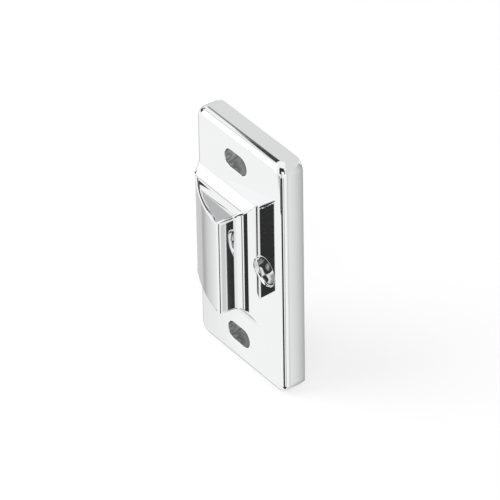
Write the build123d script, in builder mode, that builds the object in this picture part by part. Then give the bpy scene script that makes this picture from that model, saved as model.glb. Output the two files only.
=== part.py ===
# Latch strike plate: one zinc die casting, bright plated.
# Frame: +Z up, the ramp stands out towards -Y, and the origin is the centre of the back face.
# All sizes are in millimetres.
import os
from math import cos, radians, sin, tan

from build123d import *

# Plate
plate_height = 63.5
plate_width = 34.5
plate_depth = 6.35
plate_corner_radius = 3.2
front_edge_radius = 2.1
back_edge_chamfer = 0.3

# Ramp block: its heights are above the plate's front face
crest_x = 3.5
crest_height = 8.2
crest_length = 25.5
crest_slope = 6.5
toe_height = 0.2
face_draft = 3.0
base_fillet = 4.3
catch_edge_radius = 0.8

# Adjusting slots
slot_spacing = 48.1
slot_x = -0.9
slot_length = 8.7
slot_width = 4.7
slot_edge_radius = 0.25

# Hole for the screw that locks the adjustment
lock_hole_x = 10.3
lock_hole_diameter = 6.6
lock_lip_radius = 0.7
lock_lip_margin = 0.05

# Core in the back of the casting
casting_wall = 2.4
core_corner_radius = 1.2
pad_corner_radius = 1.0

# How far a cutting solid runs past the face that it opens, and how near an edge lies to its plane
overrun = 1.0
nearness = 0.01

half_height = plate_height / 2
half_width = plate_width / 2
half_crest = crest_length / 2
front_y = -plate_depth
crest_y = front_y - crest_height
slot_z = slot_spacing / 2
lock_radius = lock_hole_diameter / 2
lip_radius = lock_radius + lock_lip_radius + lock_lip_margin

# The drafted faces lean out from the crest, and the fillet at their foot starts and ends its own
# reach away from the corner that it fills
draft_tan = tan(radians(face_draft))
draft_sin = sin(radians(face_draft))
draft_cos = cos(radians(face_draft))
catch_foot_x = crest_x + crest_height * draft_tan
end_foot_z = half_crest + crest_height * draft_tan
fillet_reach = base_fillet / tan(radians((90 + face_draft) / 2))
fillet_start_y = front_y - fillet_reach * draft_cos
crest = (crest_x, crest_y)
toe = (-half_width, front_y - toe_height)
crest_tangent = (-cos(radians(crest_slope)), sin(radians(crest_slope)))

# Section across the plate: the ramp, the crest, the catch face and its fillet
with BuildSketch() as across:
    catch_start = (catch_foot_x - fillet_reach * draft_sin, fillet_start_y)
    catch_end = (catch_foot_x + fillet_reach, front_y)
    with BuildLine():
        TangentArc(crest, toe, tangent=crest_tangent)
        Line(crest, catch_start)
        TangentArc(catch_start, catch_end, tangent=(draft_sin, draft_cos))
        Polyline(catch_end, (half_width, front_y), (half_width, 0), (-half_width, 0), toe)
    make_face()

# Section along the plate, drawn as Y and Z: the ramp's two ends, carried on above the crest
with BuildSketch() as along:
    top_y = crest_y - overrun
    with BuildLine():
        for side in (-1, 1):
            end_top = (top_y, side * (half_crest - overrun * draft_tan))
            end_start = (fillet_start_y, side * (end_foot_z - fillet_reach * draft_sin))
            end_foot = (front_y, side * (end_foot_z + fillet_reach))
            Polyline((top_y, 0), end_top, end_start)
            TangentArc(end_start, end_foot, tangent=(draft_cos, side * draft_sin))
            Polyline(end_foot, (front_y, side * half_height), (0, side * half_height), (0, 0))
    make_face()

# The core is the outer form drawn in by the wall and opened at the back, less the pads that are
# left standing round the slots and the hole
with BuildPart() as core:
    with BuildSketch(Plane.XY.offset(-half_height)):
        offset(across.sketch, amount=-casting_wall, kind=Kind.INTERSECTION)
        with Locations((0, overrun)):
            Rectangle(
                plate_width - 2 * casting_wall,
                plate_depth - casting_wall + overrun,
                align=(Align.CENTER, Align.MAX),
            )
    extrude(amount=plate_height)
    with BuildSketch(Plane.YZ.offset(-half_width)):
        offset(along.sketch, amount=-casting_wall, kind=Kind.INTERSECTION)
        with Locations((overrun, 0)):
            Rectangle(
                plate_depth - casting_wall + overrun,
                plate_height - 2 * casting_wall,
                align=(Align.MAX, Align.CENTER),
            )
    extrude(amount=plate_width, mode=Mode.INTERSECT)
    fillet(core.edges().filter_by(Axis.Y), core_corner_radius)

    with BuildSketch(Plane.XZ.offset(-overrun)):
        with Locations((slot_x, -half_height), (slot_x, half_height)):
            RectangleRounded(
                slot_length + 2 * casting_wall,
                2 * (half_height - slot_z + casting_wall) + slot_width,
                pad_corner_radius,
            )
        with Locations((lock_hole_x, 0)):
            Circle(lock_radius + casting_wall)
    extrude(amount=plate_depth + overrun, mode=Mode.SUBTRACT)

# The casting: the two sections crossed at right angles, so the base fillets meet in mitres, then
# rounded, cored and pierced
with BuildPart() as strike:
    with BuildSketch(Plane.XY.offset(-half_height - overrun)):
        add(across.sketch)
    extrude(amount=plate_height + 2 * overrun)
    with BuildSketch(Plane.YZ.offset(-half_width - overrun)):
        add(along.sketch)
    extrude(amount=plate_width + 2 * overrun, mode=Mode.INTERSECT)
    fillet(strike.edges().filter_by(Axis.Y), plate_corner_radius)

    rim_faces = strike.faces().filter_by(lambda face: abs(face.bounding_box().max.Y) < nearness)
    rim_faces = rim_faces.filter_by(lambda face: face.bounding_box().size.Y > nearness)
    front_edges = rim_faces.edges().filter_by(lambda edge: edge.bounding_box().max.Y < front_y + nearness)
    fillet(front_edges, front_edge_radius)

    catch_face = strike.faces().filter_by(GeomType.PLANE).sort_by_distance((crest_x, crest_y, 0))[0]
    foot_edge = catch_face.edges().sort_by(Axis.Y)[-1]
    fillet(catch_face.edges() - [foot_edge], catch_edge_radius)

    back_face = strike.faces().sort_by(Axis.Y)[-1]
    chamfer(back_face.edges(), back_edge_chamfer)
    add(core.part, mode=Mode.SUBTRACT)

    with BuildSketch(Plane.XZ.offset(-overrun)):
        with Locations((slot_x, -slot_z), (slot_x, slot_z)):
            SlotOverall(slot_length, slot_width)
    extrude(amount=plate_depth + 2 * overrun, mode=Mode.SUBTRACT)
    slot_rims = strike.edges(Select.LAST).filter_by_position(Axis.Y, front_y - nearness, front_y + nearness)
    fillet(slot_rims, slot_edge_radius)

    # The hole's lip is level with the front face, so it cuts a crescent out of the catch fillet
    with BuildSketch(Plane.XZ.offset(plate_depth)):
        with Locations((lock_hole_x, 0)):
            Circle(lip_radius)
    extrude(amount=crest_height, mode=Mode.SUBTRACT)
    with BuildSketch(Plane.XZ.offset(-overrun)):
        with Locations((lock_hole_x, 0)):
            Circle(lock_radius)
    extrude(amount=plate_depth + 2 * overrun, mode=Mode.SUBTRACT)
    lock_rim = strike.edges(Select.LAST).filter_by_position(Axis.Y, front_y - nearness, front_y + nearness)
    fillet(lock_rim, lock_lip_radius)

strike.part.label = "strike_plate"
os.makedirs("parts", exist_ok=True)
export_step(strike.part, "parts/strike_plate.step")
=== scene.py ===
import math

import bmesh
import bpy
from mathutils import Matrix, Vector


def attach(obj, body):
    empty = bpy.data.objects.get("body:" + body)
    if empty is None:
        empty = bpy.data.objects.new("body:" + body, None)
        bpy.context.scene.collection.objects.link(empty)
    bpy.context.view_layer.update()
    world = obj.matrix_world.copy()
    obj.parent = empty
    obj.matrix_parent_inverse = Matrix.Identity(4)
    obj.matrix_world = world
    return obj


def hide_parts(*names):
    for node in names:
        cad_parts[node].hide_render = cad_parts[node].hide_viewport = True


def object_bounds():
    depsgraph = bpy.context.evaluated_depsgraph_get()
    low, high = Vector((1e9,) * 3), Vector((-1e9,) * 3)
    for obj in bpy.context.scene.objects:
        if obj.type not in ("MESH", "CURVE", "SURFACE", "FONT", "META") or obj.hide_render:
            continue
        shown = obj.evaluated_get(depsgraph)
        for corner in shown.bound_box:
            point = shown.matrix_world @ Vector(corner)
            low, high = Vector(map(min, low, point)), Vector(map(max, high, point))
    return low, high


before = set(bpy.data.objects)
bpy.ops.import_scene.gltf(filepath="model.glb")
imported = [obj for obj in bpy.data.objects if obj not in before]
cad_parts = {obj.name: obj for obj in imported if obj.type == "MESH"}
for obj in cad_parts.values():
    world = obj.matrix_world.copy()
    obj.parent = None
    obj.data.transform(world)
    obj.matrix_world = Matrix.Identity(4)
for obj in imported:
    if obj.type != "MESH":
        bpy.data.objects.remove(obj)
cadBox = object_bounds()
scene = bpy.context.scene
scene.view_settings.view_transform = "Standard"
mm = 0.001
print("frame loaded:", sorted(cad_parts))


class Sock:
    def __init__(self, graph, socket):
        self.graph = graph
        self.socket = socket

    def of(self, name):  # another output of the same node
        return Sock(self.graph, self.socket.node.outputs[name])

    def maths(self, operation, first, second):
        return self.graph.node("ShaderNodeMath", {"operation": operation}, {0: first, 1: second})

    def __add__(self, other):
        return self.maths("ADD", self, other)

    def __radd__(self, other):
        return self.maths("ADD", other, self)

    def __sub__(self, other):
        return self.maths("SUBTRACT", self, other)

    def __rsub__(self, other):
        return self.maths("SUBTRACT", other, self)

    def __mul__(self, other):
        return self.maths("MULTIPLY", self, other)

    def __rmul__(self, other):
        return self.maths("MULTIPLY", other, self)

    def atLeast(self, other):
        return self.maths("MAXIMUM", self, other)


class Graph:
    def __init__(self, tree):
        self.tree = tree
        tree.nodes.clear()

    def node(self, kind, settings=None, inputs=None, out=0):
        made = self.tree.nodes.new(kind)
        for name, value in (settings or {}).items():
            if name == "stops":
                ramp = made.color_ramp
                while len(ramp.elements) < len(value):
                    ramp.elements.new(1.0)
                for element, (position, grey) in zip(ramp.elements, value):
                    element.position = position
                    element.color = (grey, grey, grey, 1)
            else:
                setattr(made, name, value)
        for key, value in (inputs or {}).items():
            if isinstance(value, Sock):
                self.tree.links.new(value.socket, made.inputs[key])
            else:
                made.inputs[key].default_value = value
        return Sock(self, made.outputs[out]) if len(made.outputs) else made


def newMaterial(name):
    material = bpy.data.materials.new(name)
    material.use_nodes = True
    return material, Graph(material.node_tree)


# Bright plate over a cast body: a near mirror with a slight ripple, duller in the cored back
plateLook = dict(
    bright=(0.90, 0.903, 0.908, 1),
    clouded=(0.87, 0.874, 0.88, 1),
    core=(0.66, 0.665, 0.67, 1),
    gloss=0.018,
    glossSpread=0.014,
    cloudScale=90,
    cloudDetail=3,
    coreRoughness=0.34,
    coreSpread=0.12,
    grainScale=900,
    grainDetail=4,
    grainHeight=2,
    rippleScale=150,
    rippleDetail=1,
    rippleDepth=0.00001,
    rippleStrength=0.12,
)


def makePlating(look):
    material, g = newMaterial("brightPlating")
    place = g.node("ShaderNodeTexCoord", out="Object")
    backMask = g.node("ShaderNodeAttribute", {"attribute_name": "castBack"}, out="Fac")
    cloud, grain, ripple = (
        g.node(
            "ShaderNodeTexNoise", None,
            {"Vector": place, "Scale": look[name + "Scale"], "Detail": look[name + "Detail"]}, "Fac",
        )
        for name in ("cloud", "grain", "ripple")
    )
    ofColours = {"data_type": "RGBA"}
    front = g.node("ShaderNodeMix", ofColours, {0: cloud, 6: look["bright"], 7: look["clouded"]}, 2)
    colour = g.node("ShaderNodeMix", ofColours, {0: backMask, 6: front, 7: look["core"]}, 2)
    frontRough = look["gloss"] + look["glossSpread"] * cloud
    coreRough = look["coreRoughness"] + look["coreSpread"] * grain
    rough = frontRough + backMask * (coreRough - frontRough)
    height = ripple + backMask * grain * look["grainHeight"]
    bump = g.node(
        "ShaderNodeBump", None,
        {"Strength": look["rippleStrength"], "Distance": look["rippleDepth"], "Height": height},
    )
    plated = g.node(
        "ShaderNodeBsdfPrincipled", None,
        {"Base Color": colour, "Metallic": 1.0, "Roughness": rough, "Normal": bump},
    )
    g.node("ShaderNodeOutputMaterial", None, {"Surface": plated})
    return material


# The casting itself: the CAD form with its triangles joined, so the mirror finish runs over its blends,
# and with the two curved edges of the ramp eased. Lengths are in millimetres and angles in degrees.
castingShape = dict(
    mergeWithin=0.04,
    flatWithin=0.2,
    creaseOver=28,
    bentOver=0.02,
    edgeEase=0.8,
    edgeSteps=4,
    cutZ=11.9,
    cutWithin=0.0001,
    crestX=2.6,
    toeX=-15.0,
    rimX=14.86,
    rimZ=29.36,
    floorY=-3.96,
    normalWeight=50,
)
# Limits of face normals: the cored back looks along +Y, the ramp along -Y and a little -X, its ends along Z
facing = dict(back=0.05, rampLevel=0.02, rampFront=-0.7, rampLean=-0.1, end=0.3)
slotShape = dict(x=-0.9, z=24.05, halfLength=4.45, halfWidth=2.45)
holeShape = dict(x=10.3, radius=3.4)


def inHole(centre):
    x, z = centre.x / mm, centre.z / mm
    slot = slotShape
    inSlot = abs(x - slot["x"]) < slot["halfLength"] and abs(abs(z) - slot["z"]) < slot["halfWidth"]
    return inSlot or math.hypot(x - holeShape["x"], z) < holeShape["radius"]


def inCore(face, shape):
    if face.normal.y > facing["back"]:
        return True
    centre = face.calc_center_median()
    within = abs(centre.x) / mm < shape["rimX"] and abs(centre.z) / mm < shape["rimZ"]
    return within and centre.y / mm > shape["floorY"] and not inHole(centre)


def looksLikeRamp(normal):
    return abs(normal.z) < facing["rampLevel"] and normal.y < facing["rampFront"]


def isRampFace(face):
    return looksLikeRamp(face.normal) and face.normal.x < facing["rampLean"]


def isRampEdge(edge, shape):
    if len(edge.link_faces) != 2 or edge.calc_face_angle() < math.radians(shape["creaseOver"]):
        return False
    if not all(shape["toeX"] < vert.co.x / mm < shape["crestX"] for vert in edge.verts):
        return False
    first, second = sorted((face.normal for face in edge.link_faces), key=lambda normal: abs(normal.z))
    return looksLikeRamp(first) and abs(second.z) > facing["end"]


def outOfFlat(face):
    centre = face.calc_center_median()
    return max(abs((vert.co - centre).dot(face.normal)) for vert in face.verts)


def makeCasting(source, shape, material):
    bm = bmesh.new()
    bm.from_mesh(source.data)
    bmesh.ops.remove_doubles(bm, verts=bm.verts, dist=shape["mergeWithin"] * mm)
    bmesh.ops.dissolve_limit(
        bm, angle_limit=math.radians(shape["flatWithin"]), verts=bm.verts, edges=bm.edges,
        use_dissolve_boundaries=False,
    )
    # cut the ramp's long strips short, so that the eased edges lie in small faces
    for side in (-1, 1):
        strips = [face for face in bm.faces if isRampFace(face)]
        parts = dict.fromkeys(part for face in strips for part in (*face.edges, *face.verts))
        cutAt = Vector((0, 0, side * shape["cutZ"] * mm))
        bmesh.ops.bisect_plane(
            bm, geom=strips + list(parts), plane_co=cutAt, plane_no=(0, 0, 1), dist=shape["cutWithin"] * mm,
        )
    bmesh.ops.bevel(
        bm, geom=[edge for edge in bm.edges if isRampEdge(edge, shape)], affect="EDGES", profile=0.5,
        offset=shape["edgeEase"] * mm, segments=shape["edgeSteps"], material=-1, clamp_overlap=False,
    )
    # join the close points where an eased edge ends, and split what is not flat
    bmesh.ops.remove_doubles(bm, verts=bm.verts, dist=shape["mergeWithin"] * mm)
    bent = [face for face in bm.faces if outOfFlat(face) > shape["bentOver"] * mm]
    bmesh.ops.triangulate(bm, faces=bent, quad_method="BEAUTY", ngon_method="BEAUTY")
    core = bm.faces.layers.float.new("castBack")
    for face in bm.faces:
        face.smooth = True
        face[core] = 1.0 if inCore(face, shape) else 0.0
        face.material_index = 0
    for edge in bm.edges:
        edge.smooth = len(edge.link_faces) == 2 and edge.calc_face_angle() < math.radians(shape["creaseOver"])
    mesh = bpy.data.meshes.new("strikeCasting")
    bm.to_mesh(mesh)
    bm.free()
    mesh.materials.append(material)
    piece = bpy.data.objects.new("strikeCasting", mesh)
    scene.collection.objects.link(piece)
    even = piece.modifiers.new("even", "WEIGHTED_NORMAL")
    even.mode = "FACE_AREA"
    even.weight = shape["normalWeight"]
    even.keep_sharp = True
    return piece


casting = makeCasting(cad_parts["strike_plate"], castingShape, makePlating(plateLook))
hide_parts("strike_plate")
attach(casting, "root")
print("casting:", len(casting.data.vertices), "vertices,", len(casting.data.polygons), "faces")

# Camera: the photograph's direction, tilt and framing
cameraSetup = dict(
    azimuth=55.717, elevation=34.196, roll=-1.053, distance=1082.42,
    aim=(0.0, -6.35, 0.0), aimRight=2.493, aimUp=0.307, pixelsPerMm=4.3278, imageWidth=500,
    sensorWidth=36, farClip=20,
)


def makeCamera(setup):
    a, e, r = (math.radians(setup[key]) for key in ("azimuth", "elevation", "roll"))
    back = Vector((math.sin(a) * math.cos(e), -math.cos(a) * math.cos(e), math.sin(e)))
    level = Vector((math.cos(a), math.sin(a), 0))
    upright = back.cross(level)
    right = level * math.cos(r) + upright * math.sin(r)
    up = upright * math.cos(r) - level * math.sin(r)
    aim = Vector(setup["aim"]) + right * setup["aimRight"] + up * setup["aimUp"]
    data = bpy.data.cameras.new("photoView")
    data.sensor_width = setup["sensorWidth"]
    data.lens = setup["pixelsPerMm"] * setup["distance"] * setup["sensorWidth"] / setup["imageWidth"]
    data.clip_end = setup["farClip"]
    camera = bpy.data.objects.new("photoView", data)
    turn = Matrix((right, up, back)).transposed().to_4x4()
    camera.matrix_world = Matrix.Translation((aim + back * setup["distance"]) * mm) @ turn
    scene.collection.objects.link(camera)
    scene.camera = camera


makeCamera(cameraSetup)
print("camera set")

# Pale floor and white surround: the metal sees the surround as the camera does
surround = dict(daylight=0.62, floorSize=3.0, floorColour=(0.93, 0.93, 0.93, 1), shadowShare=0.35)


def seenRays(g):
    path = g.node("ShaderNodeLightPath", out="Is Camera Ray")
    return path.atLeast(path.of("Is Glossy Ray")).atLeast(path.of("Is Transmission Ray"))


def makeWorld(setup):
    world = bpy.data.worlds.new("surround")
    world.use_nodes = True
    scene.world = world
    g = Graph(world.node_tree)
    strength = setup["daylight"] + (1 - setup["daylight"]) * seenRays(g)
    sky = g.node("ShaderNodeBackground", None, {"Color": (1, 1, 1, 1), "Strength": strength})
    g.node("ShaderNodeOutputWorld", None, {"Surface": sky})


def makePanel(name, width, height, place):
    bm = bmesh.new()
    bmesh.ops.create_grid(bm, x_segments=1, y_segments=1, size=0.5)
    bmesh.ops.scale(bm, vec=(width, height, 1), verts=bm.verts)
    bmesh.ops.transform(bm, matrix=place, verts=bm.verts)
    mesh = bpy.data.meshes.new(name)
    bm.to_mesh(mesh)
    bm.free()
    panel = bpy.data.objects.new(name, mesh)
    scene.collection.objects.link(panel)
    return panel


def makeFloor(setup):
    low = cadBox[0].z
    floor = makePanel("floor", setup["floorSize"], setup["floorSize"], Matrix.Translation((0, 0, low)))
    material, g = newMaterial("paleFloor")
    paint = g.node("ShaderNodeBsdfDiffuse", None, {"Color": setup["floorColour"]})
    glow = g.node("ShaderNodeEmission", None, {"Color": (1, 1, 1, 1), "Strength": 1.0})
    share = seenRays(g) * (1 - setup["shadowShare"])
    mixed = g.node("ShaderNodeMixShader", None, {0: share, 1: paint, 2: glow})
    g.node("ShaderNodeOutputMaterial", None, {"Surface": mixed})
    floor.data.materials.append(material)
    floor.visible_glossy = False
    return floor


makeWorld(surround)
makeFloor(surround)
print("surround set")

# Studio cards that only reflections see: glowing sheets whose greys paint the reflections in the metal, the
# dark ones painting its dark lines. The first set stands round the part by azimuth and elevation in degrees,
# at its own distance in metres or else at cardDistance. The second lies level with the plate's back, in
# millimetres, and carries painted shadow and painted shade. Greys run across a card, or up it where it is
# rising.
black = 0.035


def plain(grey):
    return (0, grey), (1, grey)


roomCards = dict(
    darkFrontRight=dict(azimuth=(-63, -43), elevation=(-80, -24), greys=plain(black)),
    darkEdgeTop=dict(azimuth=(-54, -48), elevation=(-24, 4), greys=plain(black)),
    darkFrontUp=dict(azimuth=(-72, -49), elevation=(4, 28), greys=plain(black)),
    darkNearCatch=dict(azimuth=(-50.5, -43), elevation=(-46, -10), distance=0.07, greys=plain(black)),
    darkNearCrest=dict(azimuth=(-54, -47), elevation=(2, 36), distance=0.04, greys=plain(black)),
    darkForCatch=dict(
        azimuth=(-32, -24.6), elevation=(-48, -22), greys=((0, 1), (0.35, black), (0.65, black), (1, 1)),
    ),
    darkCamera=dict(azimuth=(-74, -4), elevation=(28, 57), greys=plain(black)),
    darkRight=dict(azimuth=(9, 25), elevation=(-19, 32), greys=plain(black)),
    darkRightUp=dict(azimuth=(-16, -6), elevation=(10, 28), greys=plain(black)),
    darkLowerCorner=dict(azimuth=(-80, -15), elevation=(-86, -56), greys=plain(black)),
    darkNearRamp=dict(azimuth=(-173, -150), elevation=(17, 35), distance=0.085, greys=plain(0.04)),
    darkNearToe=dict(azimuth=(-172, -158), elevation=(37, 45.5), distance=0.082, greys=plain(0.04)),
    softBox=dict(azimuth=(-147.4, -105), elevation=(-14, 60), greys=plain(1.15)),
    # painted shade: a grey gradient with a dark band, seen in the ramp's reflection
    leftWallPaintedShade=dict(
        azimuth=(-192, -157), elevation=(-70, -24),
        greys=((0, 0.6), (0.29, 0.46), (0.34, 0.46), (0.49, 0.63), (0.63, 0.72), (0.77, 0.81), (0.95, 0.96)),
    ),
    lowerLeftShade=dict(
        azimuth=(-149, -145.3), elevation=(-40, -34.3), greys=((0, 0.78), (0.5, 0.86), (1, 1)),
    ),
    leftCeiling=dict(azimuth=(-151.6, -147.5), elevation=(30, 44), greys=((0, 0.55), (1, 0.64))),
    darkOverTop=dict(
        azimuth=(146, 176), elevation=(44, 66), distance=0.12, rising=True,
        greys=((0, 0.4), (0.3, 0.32), (0.75, 0.03), (1, 0.03)),
    ),
    darkOverCorner=dict(
        azimuth=(-184, -152), elevation=(54.5, 62), distance=0.13, rising=True,
        greys=((0, 0.8), (0.35, 0.05), (1, 0.05)),
    ),
    frontLow=dict(
        azimuth=(-104, -73), elevation=(-31, -1), rising=True, greys=((0, 0.72), (0.3, 0.72), (1, 1)),
    ),
    backWall=dict(azimuth=(45, 135), elevation=(-30, 28), greys=((0, 0.85), (0.5, 0.4), (1, 0.85))),
)
boardCards = dict(
    # painted contact shadow: dark at the plate's right edge, brightening away from it
    boardRightPaintedShadow=dict(
        x=(17.3, 97.3), z=(-110, 31.8), y=0,
        greys=(
            (0, 0.35), (0.008, 0.47), (0.018, 0.575), (0.034, 0.675), (0.05, 0.76), (0.075, 0.83),
            (0.1, 0.8), (0.125, 0.67), (0.18, 0.67), (0.3, 0.88), (1, 0.95),
        ),
    ),
    boardLeft=dict(x=(-110, -17.3), z=(-110, 31.8), y=0, greys=plain(0.63)),
    boardBelow=dict(x=(-17.3, 17.3), z=(-110, -31.8), y=0, greys=plain(0.8)),
    boardTop=dict(x=(-110, 110), z=(31.8, 38.5), y=0, greys=plain(0.785)),
    # painted shade with lighter painted streaks, seen through the upper slot
    upperSlotPaintedShade=dict(
        x=(-5.3, 3.5), z=(21.65, 26.45), y=-0.15,
        greys=((0, 0.13), (0.3, 0.3), (0.55, 0.17), (0.8, 0.34), (1, 0.18)),
    ),
    # painted shade with lighter painted streaks, seen through the lower slot
    lowerSlotPaintedShade=dict(
        x=(-5.3, 3.5), z=(-26.45, -21.65), y=-0.15,
        greys=((0, 0.1), (0.3, 0.25), (0.55, 0.13), (0.8, 0.28), (1, 0.14)),
    ),
    # painted shade with a painted highlight stripe, seen through the lock hole
    holePaintedShadeAndHighlight=dict(
        x=(6.95, 13.65), z=(-3.35, 3.35), y=-0.15,
        greys=((0, 0.3), (0.35, 0.4), (0.5, 0.95), (0.58, 0.95), (0.62, 0.03), (0.8, 0.05), (1, 0.5)),
    ),
)
cardDistance = 0.6
cardSteps = 12


def between(ends, share):
    return ends[0] + (ends[1] - ends[0]) * share


def roomPoint(card, across, rise):
    a, e = math.radians(between(card["azimuth"], across)), math.radians(between(card["elevation"], rise))
    distance = card.get("distance", cardDistance)
    return Vector((math.cos(a) * math.cos(e), math.sin(a) * math.cos(e), math.sin(e))) * distance


def boardPoint(card, across, rise):
    return Vector((between(card["x"], across), card["y"], between(card["z"], rise))) * mm


def makeCard(name, card, point):
    bm = bmesh.new()
    bmesh.ops.create_grid(bm, x_segments=cardSteps, y_segments=cardSteps, size=0.5)
    share = bm.verts.layers.float.new("share")
    for vert in bm.verts:
        across, rise = vert.co.x + 0.5, vert.co.y + 0.5
        vert[share] = rise if card.get("rising") else across
        vert.co = point(card, across, rise)
    mesh = bpy.data.meshes.new(name)
    bm.to_mesh(mesh)
    bm.free()
    panel = bpy.data.objects.new(name, mesh)
    scene.collection.objects.link(panel)
    material, g = newMaterial(name)
    along = g.node("ShaderNodeAttribute", {"attribute_name": "share"}, out="Fac")
    grey = g.node("ShaderNodeValToRGB", {"stops": card["greys"]}, {"Fac": along})
    glow = g.node("ShaderNodeEmission", None, {"Color": grey, "Strength": 1.0})
    g.node("ShaderNodeOutputMaterial", None, {"Surface": glow})
    mesh.materials.append(material)
    panel.visible_camera = False
    panel.visible_diffuse = False
    panel.visible_transmission = False
    panel.visible_shadow = False


for cardName, cardSetup in roomCards.items():
    makeCard(cardName, cardSetup, roomPoint)
for cardName, cardSetup in boardCards.items():
    makeCard(cardName, cardSetup, boardPoint)
print("cards set:", len(roomCards) + len(boardCards))

# Soft boxes
lamps = dict(
    key=dict(place=(-0.5, -0.7, 0.9), size=0.9, power=9.0),
    fill=dict(place=(0.8, -0.5, 0.7), size=1.0, power=5.0),
)


def makeLamp(name, lamp):
    data = bpy.data.lights.new(name, "AREA")
    data.shape = "SQUARE"
    data.size = lamp["size"]
    data.energy = lamp["power"]
    lampObject = bpy.data.objects.new(name, data)
    place = Vector(lamp["place"])
    turn = place.to_track_quat("Z", "Y").to_matrix().to_4x4()
    lampObject.matrix_world = Matrix.Translation(place) @ turn
    lampObject.visible_glossy = False
    scene.collection.objects.link(lampObject)


for lampName, lampSetup in lamps.items():
    makeLamp(lampName, lampSetup)
print("lamps set")
